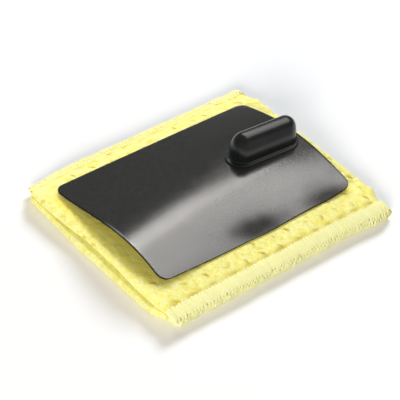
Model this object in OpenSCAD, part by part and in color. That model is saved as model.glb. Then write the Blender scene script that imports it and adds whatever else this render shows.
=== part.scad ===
// Chalkboard eraser: a folded, overlocked knit cloth that wipes the board, and over it a thin
// arched holder plate with a hollow grip knob. Hook strips under the plate's long edges grip the cloth.
// X runs from fold to fold, Y from seam to seam and Z up. The wiping face lies at Z = 0.

/* [Wiping cloth] */
// Length of the folded cloth, from fold to fold
cloth_len = 182; // [165:1:220]
// Width of the folded cloth, from seam to seam
cloth_wid = 161; // [140:1:200]
// Thickness of one ply of the knit: the cloth lies in four
ply_t = 3.1; // [2.6:0.1:4]
// Drop of the top towards the two folded ends
crown = 0.9; // [0.2:0.1:2]
// How far the lower fold reaches past the upper fold
fold_step = 5; // [1:0.5:8]
// Depth of the parting between the two folds
parting_depth = 11; // [6:1:18]
// Width of the parting at its mouth
parting_gap = 0.8; // [0.4:0.1:1.6]
// How far the seams draw the four corners in
corner_draw = 4.5; // [1:0.5:8]
// Width of the slope from the full thickness down to each seam
shoulder_wid = 11; // [8:1:18]
// Depth of the flat that the table presses into the underside
sole_cut = 0.5; // [0.3:0.1:1]

/* [Overlock seams] */
// Reach of the stitching over the cloth's edge
seam_wid = 7; // [4:0.5:10]
// Thickness of the cloth squeezed inside the stitching
hem_t = 4.4; // [3:0.1:7]
// Thickness of the thread casing round the edge
thread_t = 0.8; // [0.4:0.1:1.2]
// Height of the stitching's underside over the table
seam_rise = 3.6; // [1:0.1:5]

/* [Holder plate] */
// Length of the plate
plate_len = 150; // [120:1:170]
// Width of the plate across its arch
plate_wid = 111.5; // [80:0.5:125]
// Thickness of the plate
plate_t = 1.5; // [1:0.1:2.5]
// Rise of the arch at the end with two folds
rise_left = 8.2; // [5:0.1:12]
// Rise of the arch at the knob's end
rise_right = 11.1; // [6:0.1:14]
// Lean of the crest at the end with two folds, a share of the rise: below 0 it leans to the front
lean_left = -0.85; // [-0.9:0.05:0.9]
// Lean of the crest at the knob's end
lean_right = 0.15; // [-0.9:0.05:0.9]
// Roundness of the fall to the rear edge at the end with two folds: 1 is straight, 2 is round
rear_round_left = 2; // [1.4:0.1:2.4]
// Roundness of the fall to the rear edge at the knob's end
rear_round_right = 1.5; // [1.4:0.1:2.4]
// Radius of the plate's corners
plate_corner_r = 6; // [3:0.5:15]
// Shift of the holder along the cloth
plate_dx = -1.4; // [-6:0.1:6]
// Shift of the holder across the cloth
plate_dy = 2; // [-6:0.1:6]

/* [Hook strips] */
// Width of each hook strip
strip_wid = 16; // [10:1:25]
// Thickness of a hook strip, backing and hooks
strip_t = 0.8; // [0.6:0.1:2]
// Distance from the plate's long edge to its strip
strip_inset = 4; // [2:0.5:8]
// Distance from the plate's short edges to a strip's ends
strip_end_inset = 9; // [6:1:20]
// Radius of a strip's corners
strip_corner_r = 3; // [1:0.5:4]

/* [Grip knob] */
// Length of the knob at its foot, without the flange
knob_len = 48; // [42:1:60]
// Width of the knob at its foot, without the flange
knob_wid = 18; // [16:0.5:24]
// Height of the knob over the plate
knob_h = 18.5; // [16:0.5:26]
// Radius of the ridge along the knob's top
knob_ridge_r = 6.5; // [4.5:0.5:7]
// How far the ridge's ends lie in from the foot's ends
knob_ridge_inset = 1.5; // [1:0.5:6]
// Height of the upright band above the flange
knob_band_h = 7.5; // [3:0.5:9]
// Thickness of the knob's wall
knob_wall = 2; // [1.2:0.1:3]
// Reach of the foot flange past the knob's side
flange_wid = 2.2; // [0.8:0.1:3]
// Thickness of the foot flange
flange_t = 1.2; // [1:0.1:2.5]
// Distance from the plate's short edge to the middle of the knob
knob_from_end = 28.5; // [28:0.5:60]
// Turn of the knob from the plate's long axis, in degrees
knob_turn = -5; // [-8:1:8]
// Shift of the knob off the plate's long axis
knob_dy = -2.5; // [-5:0.5:5]

/* [Screws] */
// Distance between the two screws
screw_pitch = 22; // [16:1:26]
// Diameter of the screw's thread
screw_d = 3; // [2.5:0.1:3.5]
// Length of the screw under its head
screw_len = 11; // [8:0.5:14]
// Diameter of the screw's head
head_d = 5.6; // [4.5:0.1:6.5]
// Height of the screw's head
head_h = 2; // [1.5:0.1:2.6]
// Width of the cross recess in the head
recess_wid = 0.8; // [0.5:0.1:1.2]
// Length of the cross recess in the head
recess_len = 3; // [2:0.1:4]
// Depth of the cross recess in the head
recess_depth = 1.1; // [0.6:0.1:1.4]
// Outer diameter of the washer
washer_d = 8; // [6.5:0.5:10]
// Thickness of the washer
washer_t = 0.8; // [0.5:0.1:1.2]
// Wall of the screw boss round its pilot hole
boss_wall = 1.8; // [1.2:0.1:2.5]

/* [Fits] */
// Gap between the cloth and the holder that lies on it
lift_gap = 0.3; // [0.2:0.05:0.6]
// Glue line between the plate and a hook strip
glue_t = 0.1; // [0.05:0.05:0.3]
// Gap between the plate and the pieces seated on it
seat_gap = 0.05; // [0.02:0.01:0.1]
// Radial play of a screw in the plate and in its washer
screw_play = 0.25; // [0.15:0.05:0.5]
// Radial bite of the thread in its pilot hole
thread_bite = 0.2; // [0.1:0.05:0.3]
// Free depth of a pilot hole past the screw's point
point_room = 1; // [0.5:0.1:2]

/* [Hidden] */
$fn = 96;
hull_fn = 32;

cloth_yellow = [0.97, 0.90, 0.44];
thread_yellow = [0.98, 0.93, 0.58];
plate_black = [0.13, 0.14, 0.14];
knob_black = [0.09, 0.10, 0.10];
hook_black = [0.05, 0.05, 0.06];
screw_steel = [0.72, 0.72, 0.70];

// Cloth heights and widths
cloth_t = 4 * ply_t;
hem_low = seam_rise + thread_t;
hem_top = hem_low + hem_t;
hem_edge = cloth_wid / 2 - thread_t;
hem_inner = cloth_wid / 2 - seam_wid;
flat_edge = hem_inner - shoulder_wid;
hem_half_len = cloth_len / 2 - corner_draw;
seam_edge_r = 2 * thread_t;
end_power = 8;
draw_wid = 3 * shoulder_wid;

// Plate arch: its long edges lie at one height, the lift gap over the cloth
front_round = 2;
arch_runs = 6;
arch_steps = 26;
arch_over = 2;
seat_cut = 2 * max(rise_left, rise_right);
strip_outer = plate_wid / 2 - strip_inset;
strip_inner = strip_outer - strip_wid;
hook_depth = plate_t + glue_t + strip_t;
rest_steps = 8;
plate_rests = [
    for (x = [-1, 0, 1] * plate_len / 2) for (y = [-1, 1] * plate_wid / 2)
        cloth_under(y) - arch_under(x, y, plate_t)
];
strip_rests = [
    for (x = [-1, 0, 1] * (plate_len / 2 - strip_end_inset)) for (side = [-1, 1]) for (i = [0 : rest_steps])
        let (y = side * (strip_inner + strip_wid * i / rest_steps))
        cloth_under(y) - arch_under(x, y, hook_depth)
];
edge_z = lift_gap + max(concat(plate_rests, strip_rests));

// Knob and screws
knob_x = plate_len / 2 - knob_from_end;
foot_r = knob_wid / 2;
pilot_r = screw_d / 2 - thread_bite;
hole_r = screw_d / 2 + screw_play;
boss_r = pilot_r + boss_wall;
knob_z = edge_z + arch_rise(knob_x, knob_dy);
knob_low = edge_z;
washer_turns = [0 : 30 : 330];
big = 4 * cloth_len;

function held(v) = min(1, max(0, v));
function rounded(v) = sin(90 * held(v));

// How full the cloth is at a distance y from its middle: 0 in the hem, 1 where it lies flat
function fullness(y) = rounded((hem_inner - abs(y)) / shoulder_wid);
function sole_fullness(y) = rounded(2 * (hem_inner - abs(y)) / shoulder_wid);
function end_reach(y) = cloth_len / 2 - corner_draw * (1 - rounded((hem_inner - abs(y)) / draw_wid));

function low_z(y) = hem_low - (hem_low + sole_cut) * sole_fullness(y);
function top_z(x, y) =
    hem_top + (cloth_t - hem_top - crown * pow(abs(x) / (cloth_len / 2), end_power)) * fullness(y);

// Height of the cloth under a line of the holder
function cloth_under(y) = top_z(0, plate_dy + y);

// Height of the plate's top face over its long edges, at a place measured from its middle
function between(a, b, t) = a + (b - a) * t;
function arch_rise(x, y) =
    let (
        t = x / plate_len + 1 / 2,
        v = 2 * y / plate_wid,
        roundness = v > 0 ? between(rear_round_left, rear_round_right, t) : front_round,
        lean = between(lean_left, lean_right, t)
    )
    between(rise_left, rise_right, t) * (1 - pow(abs(v), roundness)) * (1 + lean * v);

// Direction square to that face, the height of a layer under it, and a point at a depth square to it
function arch_normal(x, y) =
    let (
        e = plate_t / 10,
        n = [
            arch_rise(x - e, y) - arch_rise(x + e, y),
            arch_rise(x, y - e) - arch_rise(x, y + e),
            2 * e
        ]
    )
    n / norm(n);
function arch_under(x, y, depth) = arch_rise(x, y) - depth / arch_normal(x, y)[2];
function arch_point(x, y, depth) = [x, y, edge_z + arch_rise(x, y)] - depth * arch_normal(x, y);

// A place on the plate from one measured along and across the knob, and the heights of each screw's stack
function knob_place(u, v) = [
    knob_x + u * cos(knob_turn) - v * sin(knob_turn),
    knob_dy + u * sin(knob_turn) + v * cos(knob_turn)
];
function washer_top(side) = edge_z - seat_gap + min([
    for (a = washer_turns)
        let (p = knob_place(side * screw_pitch / 2 + washer_d / 2 * cos(a), washer_d / 2 * sin(a)))
        arch_under(p[0], p[1], plate_t)
]);
function head_top(side) = washer_top(side) - washer_t;

// Half an oval in X and Z, from its own bottom or top round the end of the cloth
function fold_arc(tip, z0, z1, steps, side) = [
    for (i = [0 : steps])
        let (
            a = 180 * i / steps,
            r = (z1 - z0) / 2
        )
        [tip - side * abs(r) * (1 - sin(a)), (z0 + z1) / 2 - r * cos(a)]
];

// One closed outline of the folded cloth, in X and Z, at a distance y from its middle
function cloth_outline(y, arc_steps, run_steps) =
    let (
        right = end_reach(y),
        left = -end_reach(y),
        step = fold_step * fullness(y),
        end_z = top_z(cloth_len / 2, y),
        low = low_z(y),
        part_z = low + (end_z - low) / 2,
        gap = parting_gap / 2 * max(0.4, fullness(y)),
        depth = max(2, parting_depth * fullness(y)),
        right_fold = fold_arc(right, low, end_z, 2 * arc_steps, 1),
        upper_fold = fold_arc(left + step, end_z, part_z + gap, arc_steps, -1),
        lower_fold = fold_arc(left, part_z - gap, low, arc_steps, -1),
        run_from = right_fold[2 * arc_steps][0],
        run_to = upper_fold[0][0]
    )
    concat(
        right_fold,
        [for (i = [1 : run_steps - 1])
            let (x = run_from + (run_to - run_from) * i / run_steps)
            [x, top_z(x, y)]],
        upper_fold,
        [[left + step + depth, part_z]],
        lower_fold
    );

// Stations across the cloth: the two ends of a hem, the slope beside it, and the flat middle
slope_steps = 5;
flat_steps = 8;
half_stations = concat(
    [hem_edge],
    [for (i = [0 : slope_steps]) hem_inner - shoulder_wid * i / slope_steps],
    [for (i = [1 : flat_steps / 2]) flat_edge * (1 - 2 * i / flat_steps)]
);
stations = concat(
    [for (y = half_stations) -y],
    [for (i = [len(half_stations) - 2 : -1 : 0]) half_stations[i]]
);

// Skin over rows of points with the same number in each, closed by a fan from a hub at each end
module skin(rows, hubs) {
    n = len(rows[0]);
    last = len(rows) - 1;
    points = concat([for (row = rows) each row], hubs);
    near_hub = n * (last + 1);
    far_hub = near_hub + 1;
    sides = [
        for (j = [0 : last - 1]) for (i = [0 : n - 1])
            let (
                k = (i + 1) % n,
                a = j * n
            )
            each [[a + i, a + n + i, a + k], [a + k, a + n + i, a + n + k]]
    ];
    near_cap = [for (i = [0 : n - 1]) [i, (i + 1) % n, near_hub]];
    far_cap = [for (i = [0 : n - 1]) [last * n + (i + 1) % n, last * n + i, far_hub]];
    polyhedron(points, concat(sides, near_cap, far_cap));
}

// Knit cloth, both ends folded to the middle and then folded in half: two folds show at one end
module wiping_cloth() {
    color(cloth_yellow)
        difference() {
            skin(
                [for (y = stations) [for (p = cloth_outline(y, 6, 8)) [p[0], y, p[1]]]],
                [for (y = [-1, 1] * hem_edge) [0, y, (hem_low + hem_top) / 2]]
            );
            translate([-big / 2, -big / 2, -big])
                cube([big, big, big]);
        }
}

// Casing of overlock thread round the squeezed edge of the cloth, for the edge at +Y
module overlock_seam() {
    color(thread_yellow)
        translate([-hem_half_len, 0, 0])
            rotate([90, 0, 90])
                linear_extrude(2 * hem_half_len)
                    difference() {
                        union() {
                            translate([hem_inner, seam_rise])
                                square([seam_wid - seam_edge_r, hem_t + 2 * thread_t]);
                            translate([hem_inner, seam_rise + seam_edge_r])
                                square([seam_wid, hem_t + 2 * thread_t - 2 * seam_edge_r]);
                            for (z = [seam_rise + seam_edge_r, hem_top + thread_t - seam_edge_r])
                                translate([cloth_wid / 2 - seam_edge_r, z])
                                    circle(seam_edge_r);
                        }
                        translate([hem_inner - seam_wid, hem_low])
                            square([seam_wid + hem_edge - hem_inner, hem_t]);
                    }
}

module front_overlock_seam() {
    mirror([0, 1, 0])
        overlock_seam();
}

module rear_overlock_seam() {
    overlock_seam();
}

// Rounded rectangle from squares and circles, so that its corners stay true arcs
module rounded_rect(length, width, r) {
    square([length - 2 * r, width], center = true);
    square([length, width - 2 * r], center = true);
    for (x = [-1, 1], y = [-1, 1])
        translate([x * (length / 2 - r), y * (width / 2 - r)])
            circle(r);
}

// Layer between two depths under the plate's top face, reaching a little past the plate's outline
module arch_layer(upper, lower) {
    half_len = plate_len / 2 + arch_over;
    half_wid = plate_wid / 2 + arch_over;
    xs = [for (i = [0 : arch_runs]) half_len * (2 * i / arch_runs - 1)];
    ys = [for (i = [0 : arch_steps]) half_wid * (2 * i / arch_steps - 1)];
    skin(
        [for (y = ys) concat(
            [for (i = [0 : arch_runs]) arch_point(xs[i], y, upper)],
            [for (i = [arch_runs : -1 : 0]) arch_point(xs[i], y, lower)]
        )],
        [for (y = [-1, 1] * half_wid) arch_point(0, y, (upper + lower) / 2)]
    );
}

// Moves its children to where the holder lies on the cloth
module on_holder() {
    translate([plate_dx, plate_dy, 0])
        children();
}

// Moves its children from the middle of the plate to the middle of the knob
module at_knob() {
    translate([knob_x, knob_dy, 0])
        rotate([0, 0, knob_turn])
            children();
}

// Moves its children to one of the two screws, at a height
module at_screw(side, z) {
    at_knob()
        translate([side * screw_pitch / 2, 0, z])
            children();
}

// Thin sheet bent to an arch across its width, with the two screw holes near one end
module holder_plate() {
    color(plate_black)
        on_holder()
            difference() {
                intersection() {
                    arch_layer(0, plate_t);
                    linear_extrude(big)
                        rounded_rect(plate_len, plate_wid, plate_corner_r);
                }
                for (side = [-1, 1])
                    at_screw(side, washer_top(side) - plate_t)
                        cylinder(h = 4 * plate_t, r = hole_r);
            }
}

// Hook strip glued under the plate along one long edge: -1 is the front one and 1 the rear one
module hook_strip(side) {
    color(hook_black)
        intersection() {
            arch_layer(plate_t + glue_t, hook_depth);
            translate([0, side * (strip_outer - strip_wid / 2), 0])
                linear_extrude(big)
                    rounded_rect(plate_len - 2 * strip_end_inset, strip_wid, strip_corner_r);
        }
}

module front_hook_strip() {
    on_holder()
        hook_strip(-1);
}

module rear_hook_strip() {
    on_holder()
        hook_strip(1);
}

// Outline of the knob's foot, grown outwards by some amount
module foot_outline(grow) {
    r = foot_r + grow;
    reach = knob_len / 2 - foot_r;
    square([2 * reach, 2 * r], center = true);
    for (side = [-1, 1])
        translate([side * reach, 0])
            circle(r);
}

// Body of the knob, drawn in by some amount all round: an upright band, then sides that lean in to a ridge
module knob_body(inset) {
    reach = knob_len / 2 - foot_r;
    ridge_reach = knob_len / 2 - knob_ridge_inset - knob_ridge_r;
    hull()
        for (side = [-1, 1]) {
            translate([side * reach, 0, knob_low])
                cylinder(h = knob_z - knob_low + knob_band_h - inset, r = foot_r - inset, $fn = hull_fn);
            translate([side * ridge_reach, 0, knob_z + knob_h - knob_ridge_r])
                sphere(knob_ridge_r - inset, $fn = hull_fn);
        }
}

// Hollow grip with a flange round its foot and a boss for each screw, cut to sit on the arch
module grip_knob() {
    color(knob_black)
        on_holder()
            difference() {
                at_knob() {
                    difference() {
                        knob_body(0);
                        knob_body(knob_wall);
                    }
                    intersection() {
                        knob_body(knob_wall / 2);
                        for (side = [-1, 1])
                            translate([side * screw_pitch / 2, 0, knob_low])
                                cylinder(h = knob_z - knob_low + knob_h, r = boss_r);
                    }
                    translate([0, 0, knob_low])
                        linear_extrude(knob_z - knob_low + flange_t)
                            difference() {
                                foot_outline(flange_wid);
                                foot_outline(-knob_wall / 2);
                            }
                }
                arch_layer(-seat_gap, seat_cut);
                for (side = [-1, 1])
                    at_screw(side, washer_top(side))
                        cylinder(h = screw_len - washer_t + point_room, r = pilot_r);
            }
}

// Two self-tapping screws driven up from under the plate into the knob's bosses
module knob_screws() {
    point_h = screw_d / 2;
    color(screw_steel)
        on_holder()
            for (side = [-1, 1])
                at_screw(side, head_top(side))
                    difference() {
                        union() {
                            translate([0, 0, -head_h])
                                cylinder(h = head_h, r = head_d / 2);
                            translate([0, 0, -head_h / 2])
                                cylinder(h = screw_len + head_h / 2 - point_h, r = screw_d / 2);
                            translate([0, 0, screw_len - point_h])
                                cylinder(h = point_h, r1 = screw_d / 2, r2 = screw_d / 8);
                        }
                        for (turn = [0, 90])
                            rotate([0, 0, turn])
                                translate([-recess_len / 2, -recess_wid / 2, -head_h - recess_depth])
                                    cube([recess_len, recess_wid, 2 * recess_depth]);
                    }
}

// Washers that spread the screw heads' pull over the thin plate
module knob_washers() {
    color(screw_steel)
        on_holder()
            for (side = [-1, 1])
                at_screw(side, head_top(side))
                    difference() {
                        cylinder(h = washer_t, r = washer_d / 2);
                        translate([0, 0, -washer_t])
                            cylinder(h = 3 * washer_t, r = hole_r);
                    }
}

wiping_cloth();
front_overlock_seam();
rear_overlock_seam();
holder_plate();
front_hook_strip();
rear_hook_strip();
grip_knob();
knob_screws();
knob_washers();
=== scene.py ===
import math

import bpy
import numpy as np
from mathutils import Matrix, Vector


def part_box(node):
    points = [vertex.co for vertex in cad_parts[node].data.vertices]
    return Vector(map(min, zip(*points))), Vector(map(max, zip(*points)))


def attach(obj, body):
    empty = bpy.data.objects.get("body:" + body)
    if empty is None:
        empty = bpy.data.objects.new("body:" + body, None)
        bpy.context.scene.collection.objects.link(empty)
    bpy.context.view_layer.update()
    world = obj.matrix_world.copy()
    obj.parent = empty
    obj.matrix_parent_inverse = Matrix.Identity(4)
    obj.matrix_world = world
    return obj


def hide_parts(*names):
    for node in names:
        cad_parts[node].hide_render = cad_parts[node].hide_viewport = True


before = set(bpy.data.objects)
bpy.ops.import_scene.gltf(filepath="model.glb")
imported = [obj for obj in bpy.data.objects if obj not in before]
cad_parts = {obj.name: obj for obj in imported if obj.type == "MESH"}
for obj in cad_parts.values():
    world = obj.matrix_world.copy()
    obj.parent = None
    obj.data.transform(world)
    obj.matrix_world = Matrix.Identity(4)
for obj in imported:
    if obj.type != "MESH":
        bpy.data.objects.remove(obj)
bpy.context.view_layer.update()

mm = 0.001  # the script works in millimetres and turns them to metres when a mesh is made
scene = bpy.context.scene
scene.view_settings.view_transform = 'Standard'
print("frame loaded:", ", ".join(sorted(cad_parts)))


# Shared helpers

def soft(v):  # 0 to 1 with eased ends
    v = np.clip(v, 0.0, 1.0)
    return v * v * (3.0 - 2.0 * v)


def past(v, start, run):  # eased from 0 at start to 1 one run further on
    return soft((v - start) / run)


def lumps(u, v, cell, seed, turn=0.6):  # smooth random heights from -1 to 1, one lump per cell
    a = (u * math.cos(turn) - v * math.sin(turn)) / cell
    b = (u * math.sin(turn) + v * math.cos(turn)) / cell
    i, j = np.floor(a).astype(int), np.floor(b).astype(int)
    fa, fb = soft(a - i), soft(b - j)
    i, j = i - i.min(), j - j.min()
    grid = np.random.default_rng(seed).uniform(-1.0, 1.0, (i.max() + 2, j.max() + 2))
    near = grid[i, j] * (1.0 - fa) + grid[i + 1, j] * fa
    far = grid[i, j + 1] * (1.0 - fa) + grid[i + 1, j + 1] * fa
    return near * (1.0 - fb) + far * fb


def gridFaces(rows, cols, first=0, flip=False, closed=False):
    faces = []
    for i in range(rows - 1):
        for j in range(cols if closed else cols - 1):
            k = (j + 1) % cols
            a, b = first + i * cols, first + (i + 1) * cols
            quad = (a + j, a + k, b + k, b + j)
            faces.append(quad[::-1] if flip else quad)
    return faces


def ladderFaces(ring, flip=False):  # closes a ring that is the same on both sides of its long axis
    n = len(ring)
    faces = []
    for k in range(n // 2 - 1):
        quad = (ring[k], ring[k + 1], ring[n - 2 - k], ring[n - 1 - k])
        faces.append(quad[::-1] if flip else quad)
    return faces


def makePiece(name, points, faces, material, body):
    mesh = bpy.data.meshes.new(name)
    mesh.from_pydata((np.asarray(points) * mm).tolist(), [], faces)
    mesh.shade_smooth()
    mesh.materials.append(material)
    piece = bpy.data.objects.new(name, mesh)
    scene.collection.objects.link(piece)
    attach(piece, body)
    return piece


def tube(path, radius, sides):  # rings and faces of a round thread along a path, closed at both ends
    path = np.asarray(path, float)
    along = np.gradient(path, axis=0)
    along /= np.linalg.norm(along, axis=1)[:, None]
    slanted = (0.31, 0.87, 0.38)  # no thread starts along this
    side = np.cross(along[0], slanted)
    sidesOut = []
    for t in along:
        side = side - t * side.dot(t)
        side = side / np.linalg.norm(side)
        sidesOut.append(side)
    sideways = np.array(sidesOut)
    upwards = np.cross(along, sideways)
    angle = np.linspace(0.0, 2.0 * math.pi, sides, endpoint=False)
    radius = np.broadcast_to(radius, len(path))[:, None, None]
    outward = (np.cos(angle)[None, :, None] * sideways[:, None]
               + np.sin(angle)[None, :, None] * upwards[:, None])
    rings = path[:, None] + radius * outward
    n = len(path)
    faces = gridFaces(n, sides, closed=True)
    faces.append(tuple(range(sides))[::-1])
    faces.append(tuple(range((n - 1) * sides, n * sides)))
    return rings.reshape(-1, 3), faces


def joined(parts):  # several point and face lists as one
    points, faces, first = [], [], 0
    for p, f in parts:
        points.append(p)
        faces.extend(tuple(i + first for i in face) for face in f)
        first += len(p)
    return np.concatenate(points), faces


def throughPoints(points, steps):  # a smooth line through given points
    p = np.asarray(points, float)
    p = np.concatenate([[2 * p[0] - p[1]], p, [2 * p[-1] - p[-2]]])
    t = np.linspace(0.0, 1.0, steps, endpoint=False)[None, :, None]
    a, b, c, d = p[:-3, None], p[1:-2, None], p[2:-1, None], p[3:, None]
    line = 0.5 * (2 * b + (c - a) * t + (2 * a - 5 * b + 4 * c - d) * t ** 2
                  + (3 * b - a - 3 * c + d) * t ** 3)
    return np.concatenate([line.reshape(-1, 3), points[-1:]])


# Materials

class nodeTree:  # short calls for one material's nodes
    def __init__(self, name):
        self.material = bpy.data.materials.new(name)
        self.material.use_nodes = True
        self.tree = self.material.node_tree
        self.shader = self.tree.nodes["Principled BSDF"]

    def add(self, kind, inputs=None, **settings):
        node = self.tree.nodes.new(kind)
        for key, value in settings.items():
            setattr(node, key, value)
        for key, value in (inputs or {}).items():
            if isinstance(value, bpy.types.NodeSocket):
                self.tree.links.new(value, node.inputs[key])
            else:
                node.inputs[key].default_value = value
        return node

    def link(self, socket, name):
        self.tree.links.new(socket, self.shader.inputs[name])

    def fix(self, **values):  # constant values, with _ for a space in the socket's name
        for key, value in values.items():
            self.shader.inputs[key.replace("_", " ")].default_value = value

    def place(self):
        return self.add('ShaderNodeTexCoord').outputs['Object']

    def painted(self, name):  # a value stored on the mesh's points
        return self.add('ShaderNodeAttribute', attribute_name=name).outputs['Fac']

    def grain(self, size, detail=2.0, rough=0.5):  # noise whose lumps are about size millimetres
        inputs = {'Vector': self.place(), 'Scale': 1.0 / (size * mm), 'Detail': detail, 'Roughness': rough}
        return self.add('ShaderNodeTexNoise', inputs).outputs['Fac']

    def ramp(self, value, stops):
        node = self.add('ShaderNodeValToRGB', {'Fac': value})
        marks = node.color_ramp.elements
        for k, (at, colour) in enumerate(stops):
            mark = marks[k] if k < 2 else marks.new(at)
            mark.position = at
            mark.color = (*colour, 1.0)
        return node.outputs['Color']

    def mix(self, share, a, b):
        node = self.add('ShaderNodeMix', data_type='RGBA')
        for key, value in (('Factor', share), ('A', a), ('B', b)):
            socket = [s for s in node.inputs if s.name == key and s.enabled][0]
            if isinstance(value, bpy.types.NodeSocket):
                self.tree.links.new(value, socket)
            else:
                socket.default_value = value if key == 'Factor' else (*value, 1.0)
        return [s for s in node.outputs if s.enabled][0]

    def maths(self, operation, a, b=0.0):
        node = self.add('ShaderNodeMath', operation=operation)
        for k, value in enumerate((a, b)):
            if isinstance(value, bpy.types.NodeSocket):
                self.tree.links.new(value, node.inputs[k])
            else:
                node.inputs[k].default_value = value
        return node.outputs[0]

    def span(self, value, low, high):  # a 0 to 1 value as a value from low to high
        node = self.add('ShaderNodeMapRange', {'Value': value, 'To Min': low, 'To Max': high})
        return node.outputs['Result']

    def bump(self, height, distance, strength=1.0, under=None):
        inputs = {'Height': height, 'Distance': distance * mm, 'Strength': strength}
        if under is not None:
            inputs['Normal'] = under
        return self.add('ShaderNodeBump', inputs).outputs['Normal']


def knitCloth():
    m = nodeTree("knit_cloth")
    hollow, hemmed, holderShade = (m.painted(name) for name in ("hollow", "hemmed", "holderShade"))
    napDeep, napPale = (0.88, 0.76, 0.10), (1.0, 0.985, 0.42)
    tuftDeep, tuftPale = (0.94, 0.82, 0.13), (0.995, 0.985, 0.48)
    # flattened is the colour of painted shade under the holder and of its painted shadow left of it
    even, flattened = (0.98, 0.93, 0.28), (0.96, 0.80, 0.10)
    # depth is the colour of painted shade in creases, the needle-line groove and between threads
    hem, depth = (0.985, 0.96, 0.43), (0.68, 0.53, 0.04)
    fluff = m.grain(1.2, 3.0, 0.7)
    patch = m.grain(9.0, 2.0)
    nap = m.ramp(fluff, [(0.38, napDeep), (0.58, napPale)])
    tuft = m.ramp(m.grain(3.4, 2.0), [(0.35, tuftDeep), (0.60, tuftPale)])
    nap = m.mix(0.5, nap, tuft)
    nap = m.mix(m.span(patch, 0.0, 0.2), nap, even)
    # painted shade under the holder and its painted shadow on the cloth left of it
    nap = m.mix(m.maths('MULTIPLY', holderShade, 0.85), nap, flattened)
    nap = m.mix(hemmed, nap, hem)
    # painted shade: creases, the groove and gaps between threads darken the nap
    m.link(m.mix(hollow, nap, depth), 'Base Color')
    m.fix(Roughness=0.95, Specular_IOR_Level=0.15)
    m.fix(Sheen_Weight=0.15, Sheen_Roughness=0.6, Sheen_Tint=(1.0, 0.97, 0.62, 1.0))
    loops = m.bump(fluff, 0.7, 0.7)
    m.link(m.bump(m.grain(0.28, 2.0, 0.7), 0.12, 0.5, loops), 'Normal')
    return m.material


def overlockThread():
    m = nodeTree("overlock_thread")
    twistDeep, twistPale = (0.97, 0.91, 0.38), (0.995, 0.99, 0.54)
    strandDeep, strandPale = (0.98, 0.92, 0.34), (1.0, 0.995, 0.62)
    even = (0.99, 0.96, 0.43)
    twist = m.grain(0.45, 3.0, 0.7)
    colour = m.ramp(twist, [(0.32, twistDeep), (0.58, twistPale)])
    strand = m.ramp(m.grain(1.7, 2.0, 0.6), [(0.36, strandDeep), (0.62, strandPale)])
    colour = m.mix(0.55, colour, strand)
    m.link(m.mix(m.span(m.grain(6.0), 0.0, 0.3), colour, even), 'Base Color')
    m.fix(Roughness=0.85, Specular_IOR_Level=0.2)
    m.fix(Sheen_Weight=0.1, Sheen_Tint=(1.0, 0.97, 0.7, 1.0))
    m.link(m.bump(twist, 0.25, 0.6), 'Normal')
    return m.material


def plateBlack():
    m = nodeTree("plate_black")
    black, dusty, paleGrey = (0.008, 0.008, 0.008), (0.026, 0.027, 0.025), (0.42, 0.42, 0.41)
    grain = m.grain(1.2, 3.0, 0.65)
    cloud = m.grain(14.0, 3.0)
    dark = m.ramp(grain, [(0.36, black), (0.64, dusty)])
    # painted highlight along the left and front rim, and a paler base towards the front and the right
    rimHighlightAndPale = m.painted("rimHighlightAndPale")
    m.link(m.mix(m.maths('MULTIPLY', rimHighlightAndPale, m.span(grain, 0.0, 1.0)), dark, paleGrey), 'Base Color')
    scuff = m.painted("scuff")
    worn = m.maths('MULTIPLY', scuff, m.span(cloud, 0.5, 0.8))
    mottle = m.maths('ADD', m.maths('MULTIPLY', grain, 0.6), m.maths('MULTIPLY', cloud, 0.4))
    polish = m.span(mottle, 0.10, 0.26)
    m.link(m.maths('ADD', polish, worn), 'Roughness')
    m.fix(Specular_IOR_Level=1.0)
    m.link(m.bump(grain, 0.08, 0.7), 'Normal')
    return m.material


def plateCut():  # the sheet's sawn edge
    m = nodeTree("plate_cut")
    sawn = m.grain(0.3, 2.0)
    m.link(m.ramp(sawn, [(0.3, (0.003, 0.003, 0.003)), (0.7, (0.007, 0.008, 0.008))]), 'Base Color')
    m.fix(Roughness=0.7, Specular_IOR_Level=0.15)
    m.link(m.bump(sawn, 0.04, 0.5), 'Normal')
    return m.material


def knobBlack():
    m = nodeTree("knob_black")
    grain = m.grain(0.4, 3.0, 0.6)
    cloud = m.grain(7.0, 3.0)
    m.link(m.ramp(cloud, [(0.3, (0.005, 0.007, 0.006)), (0.7, (0.009, 0.011, 0.010))]), 'Base Color')
    m.link(m.span(cloud, 0.26, 0.33), 'Roughness')
    m.fix(Specular_IOR_Level=0.66)
    m.link(m.bump(grain, 0.03, 0.3), 'Normal')
    return m.material


def hookTape():
    m = nodeTree("hook_tape")
    weave = m.grain(0.5, 2.0)
    m.link(m.ramp(weave, [(0.3, (0.010, 0.010, 0.012)), (0.7, (0.028, 0.028, 0.032))]), 'Base Color')
    m.fix(Roughness=0.6)
    m.link(m.bump(weave, 0.08, 0.5), 'Normal')
    return m.material


def screwSteel():
    m = nodeTree("screw_steel")
    brushed = m.grain(0.25, 3.0, 0.7)
    m.link(m.ramp(brushed, [(0.3, (0.50, 0.50, 0.48)), (0.7, (0.66, 0.66, 0.64))]), 'Base Color')
    m.fix(Metallic=1.0)
    m.link(m.span(brushed, 0.28, 0.48), 'Roughness')
    m.link(m.bump(brushed, 0.02, 0.4), 'Normal')
    return m.material


clothYellow = knitCloth()
threadYellow = overlockThread()
plateFinish = plateBlack()
cutFinish = plateCut()
knobFinish = knobBlack()
hookFinish = hookTape()
steelFinish = screwSteel()
print("materials ready")


# Holder plate: a thin sheet bent to an arch, its crest drawn to the front at the left end

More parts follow.
